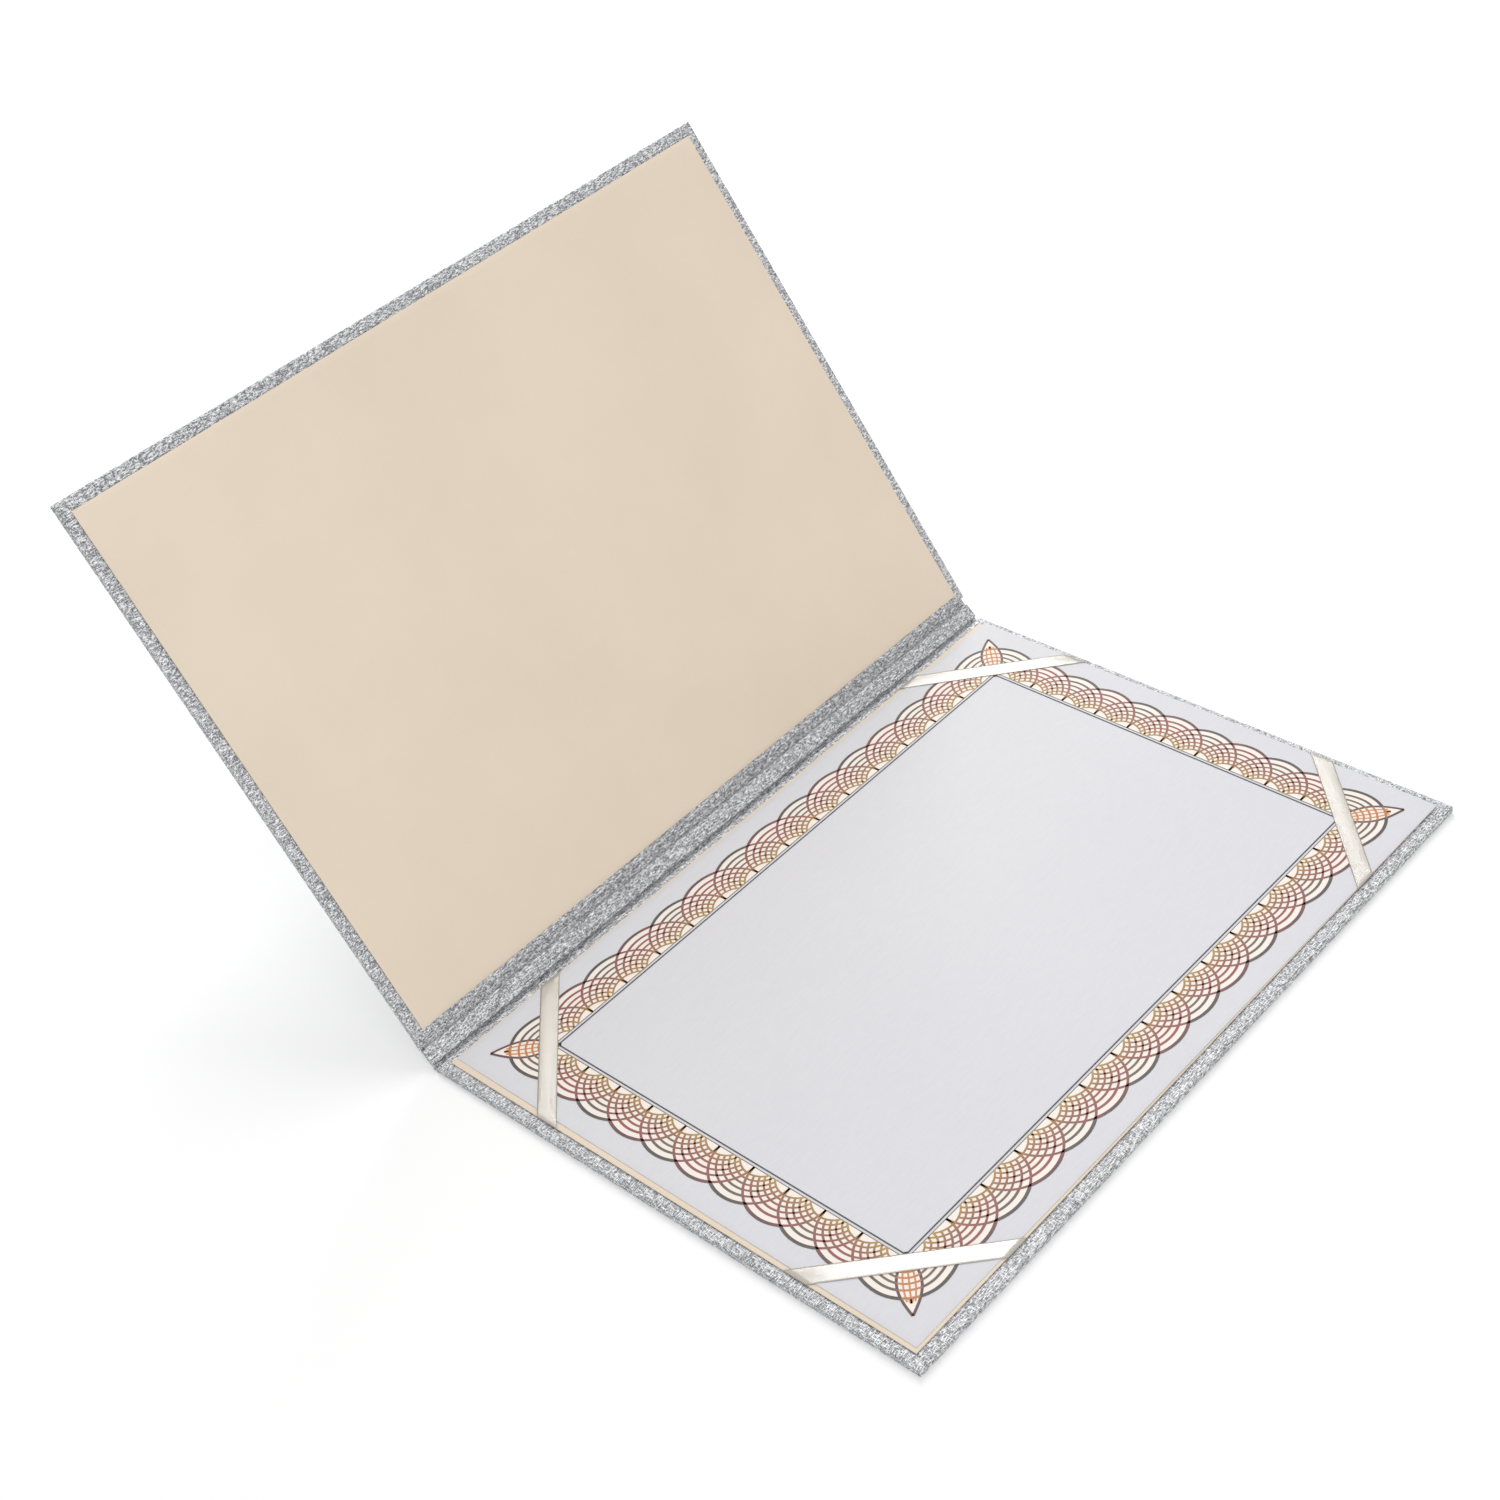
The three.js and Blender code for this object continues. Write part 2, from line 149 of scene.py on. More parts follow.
# A node socket that takes part in plain arithmetic
class Signal:
    def __init__(self, net, socket):
        self.net = net
        self.socket = socket

    def math(self, operation, *others, swap=False):
        values = [self, *others]
        if swap:
            values.reverse()
        return self.net.node("ShaderNodeMath", values, operation=operation)

    def __add__(self, other):
        return self.math("ADD", other)

    def __sub__(self, other):
        return self.math("SUBTRACT", other)

    def __mul__(self, other):
        return self.math("MULTIPLY", other)

    def __rsub__(self, other):
        return self.math("SUBTRACT", other, swap=True)

    __radd__ = __add__
    __rmul__ = __mul__

    def part(self, axis):
        return self.net.node("ShaderNodeSeparateXYZ", [self], output="XYZ"[axis])

    def between(self, low, high):
        return self.net.node("ShaderNodeMapRange", {"Value": self, "From Min": low, "From Max": high})


# A node tree, of the world or of a finish
class Net:
    def __init__(self, tree):
        self.tree = tree

    def put(self, socket, value):
        if isinstance(value, Signal):
            self.tree.links.new(value.socket, socket)
        elif isinstance(value, (tuple, list)) and socket.type == "RGBA":
            socket.default_value = (*value[:3], 1)
        else:
            socket.default_value = value

    def node(self, kind, inputs=(), output=0, **settings):
        made = self.tree.nodes.new(kind)
        stops = settings.pop("stops", ())
        for key, value in settings.items():
            setattr(made, key, value)
        for index, (at, colour) in enumerate(stops):
            elements = made.color_ramp.elements
            element = elements[index] if index < 2 else elements.new(at)
            element.position = at
            element.color = (*colour, 1)
        pairs = inputs.items() if isinstance(inputs, dict) else enumerate(inputs)
        for key, value in pairs:
            self.put(made.inputs[key], value)
        return None if output is None else Signal(self, made.outputs[output])

    def place(self):
        return self.node("ShaderNodeTexCoord", output="Object")

    def uv(self):
        return self.node("ShaderNodeTexCoord", output="UV")

    def vector(self, operation, *values):
        return self.node("ShaderNodeVectorMath", values, operation=operation)

    def stretched(self, where, scale, spin=(0, 0, 0)):
        return self.node("ShaderNodeMapping", {"Vector": where, "Rotation": spin, "Scale": scale})

    def noise(self, where, scale, detail, rough=0.55):
        return self.node("ShaderNodeTexNoise",
                         {"Vector": where, "Scale": scale, "Detail": detail, "Roughness": rough})

    def cells(self, where, scale):
        return self.node("ShaderNodeTexVoronoi", {"Vector": where, "Scale": scale}, feature="F1")

    def blend(self, share, first, second):
        return self.node("ShaderNodeMix", {0: share, 6: first, 7: second}, output=2, data_type="RGBA")

    def ramp(self, value, stops):
        return self.node("ShaderNodeValToRGB", [value], stops=stops)

    def bump(self, height, distance, strength):
        return self.node("ShaderNodeBump", {"Height": height, "Distance": distance, "Strength": strength})


# The node tree of one finish, with the even values of its shader
class Finish(Net):
    def __init__(self, name, roughness, metallic=0.0, specular=0.5):
        self.material = bpy.data.materials.new(name)
        self.material.use_nodes = True
        super().__init__(self.material.node_tree)
        self.shader = self.tree.nodes["Principled BSDF"]
        self.shader.inputs["Roughness"].default_value = roughness
        self.shader.inputs["Metallic"].default_value = metallic
        self.shader.inputs["Specular IOR Level"].default_value = specular

    def finish(self, colour, roughness=None, normal=None):
        self.put(self.shader.inputs["Base Color"], colour)
        if roughness is not None:
            self.put(self.shader.inputs["Roughness"], roughness)
        if normal is not None:
            self.put(self.shader.inputs["Normal"], normal)
        return self.material


def linear(red, green, blue):
    # A colour given as screen values from 0 to 255
    shares = (value / 255 for value in (red, green, blue))
    return tuple(((share + 0.055) / 1.055) ** 2.4 if share > 0.04 else share / 12.92 for share in shares)


def silverPaper():
    look = {
        "dark": linear(114, 115, 119),
        "middle": linear(194, 195, 198),
        "light": linear(243, 243, 244),
        "streaks": (((3300, 520, 1500), 36), ((560, 3200, 1500), 20), ((3100, 600, 1500), -44)),
        "tilt": (0.5, 0.3),
        "wander": 0.0005,
        "wanderScale": 420.0,
        "facetScale": 1300.0,
        "grainScale": 3200.0,
        "softScale": 60.0,
        "relief": 0.00013,
    }
    net = Finish("silver_paper", 0.5, metallic=0.12, specular=0.22)
    where = net.place()
    wander = net.node("ShaderNodeTexNoise",
                      {"Vector": where, "Scale": look["wanderScale"], "Detail": 2.0}, output="Color")
    bent = net.vector("MULTIPLY_ADD", wander, (look["wander"],) * 3, where)
    ridges = None
    for scale, spin in look["streaks"]:
        run = net.noise(net.stretched(bent, scale, (*look["tilt"], math.radians(spin))), 1.0, 2.0)
        ridges = run if ridges is None else ridges.math("MAXIMUM", run)
    facets = net.cells(bent, look["facetScale"])
    grain = net.noise(where, look["grainScale"], 2.0)
    soft = net.noise(where, look["softScale"], 2.0)
    # The ramp paints glints on the raised streaks and facets, and painted shade between them, into the foil's
    # colour; the grain and soft noise are its own tone, and the relief is the bump
    paintedGlintsAndGrain = ridges.between(0.5, 0.74) * 0.95 + facets * 0.12 + grain * 0.2 + soft * 0.1
    colour = net.ramp(paintedGlintsAndGrain.between(0.26, 1.0),
                      [(0.0, look["dark"]), (0.45, look["middle"]), (0.85, look["light"])])
    roughness = 0.42 + grain * 0.18
    relief = net.bump(ridges * 1.6 - facets * 0.4, look["relief"], 0.6)
    return net.finish(colour, roughness, relief)


def creamLining():
    look = {"base": linear(225, 211, 192), "shade": linear(219, 204, 184), "fibres": (900, 300, 900),
            "cloudScale": 14.0, "toothScale": 1900.0, "relief": 0.00005}
    net = Finish("cream_lining", 0.72, specular=0.3)
    where = net.place()
    cloud = net.noise(where, look["cloudScale"], 3.0).between(0.35, 0.65)
    fibre = net.noise(net.stretched(where, look["fibres"]), 1.0, 4.0)
    tooth = net.noise(where, look["toothScale"], 3.0)
    colour = net.blend(cloud * 0.6 + fibre * 0.35, look["base"], look["shade"])
    return net.finish(colour, 0.66 + tooth * 0.14, net.bump(tooth + fibre * 0.6, look["relief"], 0.6))


def certificatePaper():
    look = {"base": linear(210, 210, 214), "shade": linear(203, 203, 208), "ribs": (1900, 230, 900),
            "ribSpin": math.radians(-48), "cloudScale": 9.0, "toothScale": 2400.0, "relief": 0.00004}
    net = Finish("certificate_paper", 0.62, specular=0.35)
    where = net.place()
    cloud = net.noise(where, look["cloudScale"], 2.0).between(0.3, 0.7)
    mottle = net.noise(net.stretched(where, look["ribs"], (0, 0, look["ribSpin"])), 1.0, 3.0)
    tooth = net.noise(where, look["toothScale"], 3.0)
    colour = net.blend(cloud * 0.3 + mottle.between(0.3, 0.7) * 0.6, look["base"], look["shade"])
    return net.finish(colour, 0.58 + tooth * 0.12, net.bump(tooth + mottle * 0.5, look["relief"], 0.5))


def satinRibbon():
    look = {"base": linear(181, 174, 161), "deep": linear(167, 159, 145), "ribs": 30, "picks": 240,
            "slubs": (60, 9, 1), "ior": 1.8, "cover": 0.84, "relief": 0.000009}
    net = Finish("satin_ribbon", 0.3, specular=1.0)
    uv = net.uv()
    across = uv.part(0)
    along = uv.part(1)
    warp = (across * (look["ribs"] * 2 * math.pi)).math("SINE")
    weft = (along * (look["picks"] * 2 * math.pi)).math("SINE")
    slub = net.noise(net.stretched(uv, look["slubs"]), 1.0, 3.0)
    selvedge = (across - 0.5).math("ABSOLUTE").between(0.455, 0.475)
    colour = net.blend(slub * 0.7 + selvedge * 0.4, look["base"], look["deep"])
    height = warp * (1 - selvedge) + weft * (selvedge * 0.8 + 0.06) + slub * 1.2
    net.shader.inputs["IOR"].default_value = look["ior"]
    net.put(net.shader.inputs["Alpha"], look["cover"] + slub * 0.1)
    return net.finish(colour, 0.15 + slub * 0.12, net.bump(height, look["relief"], 1.0))


def laceInk():
    # UV X is the tone: grey at 0, burgundy at a half, orange at 1. UV Y is the height over the fine rule.
    look = {
        "grey": [(0.0, linear(162, 132, 56)), (0.22, linear(130, 102, 50)), (0.45, linear(102, 80, 57)),
                 (0.8, linear(78, 66, 59)), (1.0, linear(46, 40, 38))],
        "burgundy": [(0.0, linear(174, 130, 50)), (0.22, linear(148, 96, 46)), (0.45, linear(134, 64, 47)),
                     (0.8, linear(130, 50, 55)), (1.0, linear(70, 32, 34))],
        "orange": linear(196, 124, 58),
        "thin": linear(225, 215, 205),
        "pressScale": 1500.0,
    }
    net = Finish("lace_ink", 0.5, specular=0.4)
    uv = net.uv()
    tone = uv.part(0)
    height = uv.part(1)
    grey = net.ramp(height, look["grey"])
    burgundy = net.ramp(height, look["burgundy"])
    mixed = net.blend((tone * 2).math("MINIMUM", 1.0), grey, burgundy)
    mixed = net.blend((tone * 2 - 1).math("MAXIMUM", 0.0), mixed, look["orange"])
    press = net.noise(net.place(), look["pressScale"], 3.0).between(0.2, 0.8)
    colour = net.blend(press * 0.12, mixed, look["thin"])
    return net.finish(colour, 0.46 + press * 0.12)


def plainInk(name, colour, paper, cover):
    net = Finish(name, 0.55, specular=0.35)
    press = net.noise(net.place(), 1300.0, 3.0).between(0.2, 0.8)
    return net.finish(net.blend(press * cover, colour, paper), 0.5 + press * 0.1)


def greyBoard():
    look = {"light": linear(150, 146, 138), "dark": linear(118, 114, 108), "fleck": linear(90, 86, 80),
            "pulpScale": 700.0, "fleckScale": 500.0, "roughness": 0.85, "relief": 0.0001}
    net = Finish("grey_board", 0.9, specular=0.2)
    where = net.place()
    pulp = net.noise(where, look["pulpScale"], 4.0)
    flecks = net.cells(where, look["fleckScale"]).between(0.1, 0.4)
    colour = net.blend(pulp, look["light"], look["dark"])
    flecked = net.blend(flecks * 0.3, look["fleck"], colour)
    return net.finish(flecked, look["roughness"], net.bump(pulp, look["relief"], 0.7))


paints = {
    "silver": silverPaper(),
    "cream": creamLining(),
    "paper": certificatePaper(),
    "ribbon": satinRibbon(),
    "lace": laceInk(),
    "rule": plainInk("rule_ink", linear(50, 48, 52), linear(150, 148, 152), 0.12),
    "field": plainInk("lace_tint", linear(233, 226, 219), linear(229, 218, 208), 0.6),
    "board": greyBoard(),
}
print("materials made")

# How a folded paper section runs along the spine: its places there and the steps of its rounded ends
run = {"places": 90, "endSteps": 5}

wrapping = {
    "soft": 0.18,
    "foot": 0.3,
    "lean": 0.05,
    "jointReach": 2.3,
    "boardStart": 2.6,
    "rimStep": 0.4,
    "spineSteps": 3,
    "jointSteps": 12,
    "grooveSteps": 8,
    "boardSteps": 30,
    "roundSteps": 4,
    "endRound": 0.5,
    "sharpen": 35,
}

# The strip's path: along the board, over its edge, down to the foot of the wall, through the groove
# and over the edge of the spine; the pairs are steps from the wall and from a level
innerStrip = {
    "thick": 0.15,
    "shorter": 3,
    "wall": 1.7,
    "groove": 0.6,
    "spineLevel": 2.05,
    "boardLevel": 2.95,
    "onBoard": (13.7, 8, 4.4, 2.6),
    "boardEdge": ((0.35, -0.03), (0.1, -0.25), (-0.05, -0.7)),
    "foot": ((0.2, 0.7), (0.4, 0.28), (0.8, 0.06)),
    "spineEdge": ((0.05, -0.3), (0.25, -0.04), (0.6, 0)),
    "grooveInset": 1.1,
    "grooveSteps": 8,
    "endRound": 0.05,
    "sharpen": 50,
}


def stations(length, ends, steps):
    # Places along the spine: close together in the rounded ends, even in the middle
    inner = np.linspace(-length / 2 + ends[-1], length / 2 - ends[-1], steps)
    tail = [-length / 2 + e for e in ends[:-1]]
    return np.array([*tail, *inner, *(-y for y in reversed(tail))])


def endFaces(section):
    # Closes an end with short triangles that run along the section, so that they stay short where it bends
    away = np.abs(section[:, 0] - section[0, 0])
    far = int(np.argmax(away))
    first, second = list(range(far + 1)), list(range(len(section) - 1, far - 1, -1))
    faces = []
    i = j = 0
    while i < len(first) - 1 or j < len(second) - 1:
        ahead = away[first[i + 1]] if i < len(first) - 1 else math.inf
        beside = away[second[j + 1]] if j < len(second) - 1 else math.inf
        if ahead <= beside:
            face = (first[i], second[j], first[i + 1])
            i += 1
        else:
            face = (first[i], second[j], second[j + 1])
            j += 1
        if len(set(face)) == 3:
            faces.append(face)
    return faces


def sectionSheet(name, section, length, rounding, paint, degrees):
    # Runs a closed section of (u, t, inward u, inward t) along the spine and rounds its two ends
    arc = [rounding * (1 - math.cos(a)) for a in np.linspace(0, math.pi / 2, run["endSteps"])]
    along = stations(length, arc, run["places"])
    section = np.array(section)
    rows = []
    for y in along:
        depth = min(length / 2 - abs(y), rounding)
        inset = rounding - math.sqrt(max(0, rounding ** 2 - (rounding - depth) ** 2))
        u = section[:, 0] + section[:, 2] * inset
        t = section[:, 1] + section[:, 3] * inset
        rows.append(standing(u, np.full(len(u), y), t))
    columns = len(section)
    faces = gridFaces(len(along), columns, closed=True)
    last = (len(along) - 1) * columns
    ends = endFaces(section)
    faces += ends
    faces += [tuple(last + i for i in reversed(face)) for face in ends]
    return sharpenByAngle(makeMesh(name, np.concatenate(rows), faces, paint), degrees, 2 * len(ends))


def stretch(start, end, count):
    return list(np.linspace(start, end, count + 1))


def onSide(loop, side):
    # Sets a section, made from its hinge line, into the flat cover; the front cover's runs the other way
    centre = 0 if side > 0 else frontHinge[0]
    placed = [(centre + side * v, t, side * du, dt) for v, t, du, dt in loop]
    return placed if side > 0 else placed[::-1]


def coveringSection(side):
    # One half of the covering, from the middle of the spine over its joint and around the cover board;
    # side is 1 for the back cover and -1 for the front cover, and v is the distance from its hinge line
    fore, top, bend = case["hingeToForeEdge"], case["turnInTop"], case["edgeRound"]
    half, spineTop = case["hingeSpacing"] / 2, case["spineTop"]
    wrap, low = case["wrapStart"], case["foldedSheetTop"]
    soft, foot, lean = wrapping["soft"], wrapping["foot"], wrapping["lean"]
    near, joint = wrapping["boardStart"], wrapping["jointReach"]
    loop = []
    for v in [*stretch(-half, -near, wrapping["spineSteps"]), *stretch(-joint, joint, wrapping["jointSteps"]),
              *stretch(near, fore - bend, wrapping["boardSteps"])]:
        loop.append((v, 0, 0, 1))
    for a in stretch(0, math.pi / 2, wrapping["roundSteps"])[1:]:
        loop.append((fore - bend + bend * math.sin(a), bend * (1 - math.cos(a)), -1, 0.5))
    for a in stretch(0, math.pi / 2, wrapping["roundSteps"]):
        loop.append((fore - bend + bend * math.cos(a), top - bend * (1 - math.sin(a)), -1, -0.5))
    for v in stretch(fore - bend - wrapping["rimStep"], wrap + soft, wrapping["boardSteps"]):
        loop.append((v, top, 0, -1))
    loop += [(wrap, top - soft, 0, -1), (wrap - lean, low + foot, 0, -0.5), (wrap - foot, low, 0, -0.5)]
    for v in stretch(wrap - 2 * foot, -wrap + 2 * foot, wrapping["grooveSteps"]):
        loop.append((v, low, 0, -0.5))
    loop += [(-wrap + foot, low, 0, -0.5), (-wrap + lean, low + foot, 0, -0.5)]
    loop += [(-wrap, spineTop - soft, 0, -1), (-wrap - soft, spineTop, 0, -1), (-half, spineTop, 0, -1)]
    return onSide(loop, side)


def stripSection(side):
    # One half of the strip inside the spine, a thin band that dips into the joint
    wall, groove = innerStrip["wall"], innerStrip["groove"]
    board, spine = innerStrip["boardLevel"], innerStrip["spineLevel"]
    flatEnd = wall - innerStrip["grooveInset"]
    path = [(v, board) for v in innerStrip["onBoard"]]
    path += [(wall + v, board + t) for v, t in innerStrip["boardEdge"]]
    path += [(wall - v, groove + t) for v, t in innerStrip["foot"]]
    path += [(v, groove) for v in stretch(flatEnd, -flatEnd, innerStrip["grooveSteps"])]
    path += [(-wall + v, groove + t) for v, t in reversed(innerStrip["foot"])]
    path += [(-wall - v, spine + t) for v, t in innerStrip["spineEdge"]]
    path.append((-case["hingeSpacing"] / 2, spine))
    under = [(v, t, 0, 0.5) for v, t in path]
    over = [(v, t + innerStrip["thick"], 0, -0.5) for v, t in reversed(path)]
    return onSide(under + over, side)


def acrossJoint(piece, side):
    # Bakes the piece's placement into its mesh; the smooth bend across the joint is already in its shape, and
    # the piece is tied to neither body of the joint
    half = case["jointHalf"]
    centre = 0 if side > 0 else frontHinge[0]
    level = case["hingeHeight"]
    start, end = (standing(centre + s * half, 0, level) for s in (1, -1))
    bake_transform(piece)


for side, word in covers:
    covering = sectionSheet(f"covering_{word}", coveringSection(side), case["length"],
                            wrapping["endRound"], paints["silver"], wrapping["sharpen"])
    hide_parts(f"{word}_cover_sheet", *(["spine_cover_sheet"] if side > 0 else []))
    acrossJoint(covering, side)
    strip = sectionSheet(f"inner_strip_{word}", stripSection(side), case["length"] - innerStrip["shorter"],
                         innerStrip["endRound"], paints["silver"], innerStrip["sharpen"])
    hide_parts(f"{word}_spine_strip", *(["spine_strip"] if side > 0 else []))
    acrossJoint(strip, side)
print("covering made")

# Rows of a thin sheet inwards from its rim, and its points along each side
slab = {"insets": (2.5, 6, 12, 25, 50), "points": 25, "sharpen": 50}


def softSlab(name, u0, u1, y0, y1, layer, paint, lift=None, turn=None):
    # A thin sheet with soft top edges, laid out in the flat cover: rows from its rim to its middle
    bottom, top, soft = layer["bottom"], layer["top"], layer["soft"]
    inset = [0, 0, soft * 0.35, soft, *slab["insets"]]
    level = [bottom, top - soft, top - soft * 0.3, top, *(top for _ in slab["insets"])]
    points = []
    count = slab["points"]
    for edge, height in zip(inset, level):
        a0, a1, b0, b1 = u0 + edge, u1 - edge, y0 + edge, y1 - edge
        ring = [(a, b0) for a in np.linspace(a0, a1, count)[:-1]]
        ring += [(a1, b) for b in np.linspace(b0, b1, count)[:-1]]
        ring += [(a, b1) for a in np.linspace(a1, a0, count)[:-1]]
        ring += [(a0, b) for b in np.linspace(b1, b0, count)[:-1]]
        for a, b in ring:
            rise = lift(a, b, edge) if lift else 0
            points.append((a, b, height + (rise if edge > 0 or height > bottom else 0)))
    columns = 4 * (count - 1)
    faces = gridFaces(len(inset), columns, closed=True)
    faces.append(tuple(range((len(inset) - 1) * columns, len(inset) * columns)))
    faces.append(tuple(reversed(range(columns))))
    flat = np.array(points)
    if turn:
        flat = turn(flat)
    return sharpenByAngle(standingMesh(name, flat, faces, paint), slab["sharpen"])


lining = {"fromHinge": 4.7, "width": 211.8, "length": 298, "bottom": 3.32, "top": 3.62, "soft": 0.14}
for side, word in covers:
    near = lining["fromHinge"] if side > 0 else frontHinge[0] - lining["fromHinge"] - lining["width"]
    panel = softSlab(f"lining_{word}", near, near + lining["width"], -lining["length"] / 2,
                     lining["length"] / 2, lining, paints["cream"])
    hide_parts(f"{word}_lining")
    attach(panel, f"{word}_cover")
print("linings made")

sheet = {"width": 210, "length": 297, "fromHinge": 5.3, "fromTail": 6.7, "turn": math.radians(-0.25),
         "bottom": 3.67, "top": 3.87, "soft": 0.04, "curl": 0.22, "curlReach": 5.5,
         "waves": (0.045, 0.031), "ribbonReach": 110}


def onSheet(flat):
    # From the certificate's own corner into the flat cover
    cosine, sine = math.cos(sheet["turn"]), math.sin(sheet["turn"])
    x, y = flat[:, 0], flat[:, 1]
    placed = flat.copy()
    placed[:, 0] = sheet["fromHinge"] + cosine * x - sine * y
    placed[:, 1] = sheet["fromTail"] - case["length"] / 2 + sine * x + cosine * y
    return placed


def edgeCurl(x, y, edge):
    # The margin lifts a hair between the ribbons
    width, length = sheet["width"], sheet["length"]
    gap = max(0.0, 1 - edge / sheet["curlReach"])
    wave = 0.5 + 0.5 * math.sin(x * sheet["waves"][0] + y * sheet["waves"][1])
    corner = min(x + y, width - x + y, x + length - y, width - x + length - y)
    middle = min(1.0, corner / sheet["ribbonReach"])
    return sheet["curl"] * gap ** 2 * wave * middle


certificate = softSlab("certificate_sheet", 0, sheet["width"], 0, sheet["length"], sheet,
                       paints["paper"], lift=edgeCurl, turn=onSheet)
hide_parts("certificate")
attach(certificate, "back_cover")
print("certificate made")

# The lace: scallops of six nested arcs over the fine rule, in millimetres about the sheet's middle
lace = {
    "ruleInset": 24.15,
    "ruleWidth": 0.3,
    "ruleSteps": 9,
    "ruleTone": 0.0,
    "ruleHeight": 13.0,
    "depths": (15.4, 12.3, 9.8, 7.5, 5.3, 3.2),
    "spans": (15.7, 13.86, 12.0, 10.2, 8.3, 6.5),
    "openWidths": (1.18, 0.96, 0.86, 0.8, 0.76, 0.7),
    "crossedWidths": (0.9, 0.8, 0.76, 0.74, 0.74, 0.72),
    "tones": (0.5, 0.0),
    "crossedTone": 0.4,
    "crossedFrom": 3,
    "shortPitch": 15.7,
    "longPitch": 17.45,
    "shortCount": 9,
    "longCount": 13,
    "level": 3.96,
    "layer": 0.003,
    "steps": 64,
    "shrink": 0.05,
    "slack": 0.01,
    "cornerShare": 0.98,
}
# The leaves in the corners: each line's place across the leaf and where it begins along it
leaf = {
    "tip": 8.4,
    "length": 25,
    "half": 4,
    "tone": 0.85,
    "steps": 30,
    "lines": ((1, 0), (0.5, 0.22), (0, 0.19), (-0.5, 0.22), (-1, 0)),
    "edge": {"width": 0.95, "tone": 0.5, "height": 15.4},
    "inner": {"width": 0.62, "tone": 1.0, "height": 6.0},
    "spot": (3.4, 4.9),
    "spotWidths": (1.0, 2.2),
}
laceX = sheet["width"] / 2 - lace["ruleInset"]
laceY = sheet["length"] / 2 - lace["ruleInset"]
lastX = lace["shortPitch"] * (lace["shortCount"] - 1) / 2
lastY = lace["longPitch"] * (lace["longCount"] - 1) / 2
leafTip = np.array([sheet["width"] / 2 - leaf["tip"], sheet["length"] / 2 - leaf["tip"]])


class Scallop:
    # Nested arcs on a side of the rule; face turns (along, outward) into (x, y) about the sheet's middle
    def __init__(self, middle, squeeze, rule, face, tone):
        self.middle, self.squeeze, self.rule, self.face, self.tone = middle, squeeze, rule, face, tone

    def circle(self, level):
        depth, span = lace["depths"][level], lace["spans"][level]
        radius = (span ** 2 + depth ** 2) / (2 * depth)
        return radius, radius - depth

    def arc(self, level):
        radius, drop = self.circle(level)
        reach = math.acos(max(-1, min(1, drop / radius)))
        angle = np.linspace(reach, -reach, lace["steps"] + 1)
        along = self.middle + radius * np.sin(angle) * self.squeeze
        outward = radius * np.cos(angle) - drop
        return self.face(along, self.rule + outward), outward

    def holds(self, points, level):
        along, outward = self.unface(points)
        outward = outward - self.rule
        radius, drop = self.circle(level)
        away = ((along - self.middle) / self.squeeze) ** 2 + (outward + drop) ** 2
        return (outward > -lace["slack"]) & (away < (radius - lace["shrink"]) ** 2)

    def unface(self, points):
        probe = self.face(np.array([1.0, 0.0]), np.array([0.0, 1.0]))
        return points @ probe[0], points @ probe[1]


class Corner:
    # The arcs that sweep around a corner of the rule
    def __init__(self, signX, signY):
        self.sign = np.array([signX, signY])
        self.tone = 0.0

    def spansOf(self, level):
        share = lace["spans"][level] / lace["spans"][0]
        return (laceX - lastX) * share, (laceY - lastY) * share

    def arc(self, level):
        depth = lace["depths"][level]
        spanX, spanY = self.spansOf(level)
        quarter = np.linspace(0, math.pi / 2, lace["steps"] // 2)
        first = np.stack([-spanX * np.cos(quarter), depth * np.sin(quarter)], -1)
        sweep = np.stack([depth * np.sin(quarter), depth * np.cos(quarter)], -1)[1:-1]
        final = np.stack([depth * np.cos(quarter), -spanY * np.sin(quarter)], -1)
        beyond = np.concatenate([first, sweep, final])
        outward = np.hypot(np.maximum(beyond[:, 0], 0), np.maximum(beyond[:, 1], 0))
        return (beyond + (laceX, laceY)) * self.sign, outward

    def holds(self, points, level):
        beyond = points * self.sign - (laceX, laceY)
        spanX, spanY = self.spansOf(level)
        depth = lace["depths"][level]
        across = np.where(beyond[:, 0] >= 0, beyond[:, 0] / depth, beyond[:, 0] / spanX)
        up = np.where(beyond[:, 1] >= 0, beyond[:, 1] / depth, beyond[:, 1] / spanY)
        outside = (beyond[:, 0] > 0) | (beyond[:, 1] > 0)
        return outside & (across ** 2 + up ** 2 < lace["cornerShare"])


def shortSide(sign):
    return lambda along, outward: np.stack([sign * along, sign * outward], -1)


def longSide(sign):
    return lambda along, outward: np.stack([sign * outward, -sign * along], -1)


def laceShapes():
    shapes = []
    sides = ((lace["shortCount"], lace["shortPitch"], laceY, shortSide),
             (lace["longCount"], lace["longPitch"], laceX, longSide))
    for count, pitch, rule, face in sides:
        for sign in (1, -1):
            for index in range(count):
                step = index - (count - 1) // 2
                tone = lace["tones"][step % 2]
                shapes.append(Scallop(step * pitch, pitch / lace["shortPitch"], rule, face(sign), tone))
    return shapes + [Corner(*signs) for signs in quarters]


def inLeaf(points):
    # Measured from the nearest leaf's tip, along its diagonal and across it
    gap = leafTip - np.abs(points)
    along = (gap[:, 0] + gap[:, 1]) / math.sqrt(2)
    across = (gap[:, 0] - gap[:, 1]) / math.sqrt(2)
    share = np.clip(along / leaf["length"], 0, 1)
    return (along > 0) & (share < 1) & (np.abs(across) < leaf["half"] * np.sin(math.pi * share))


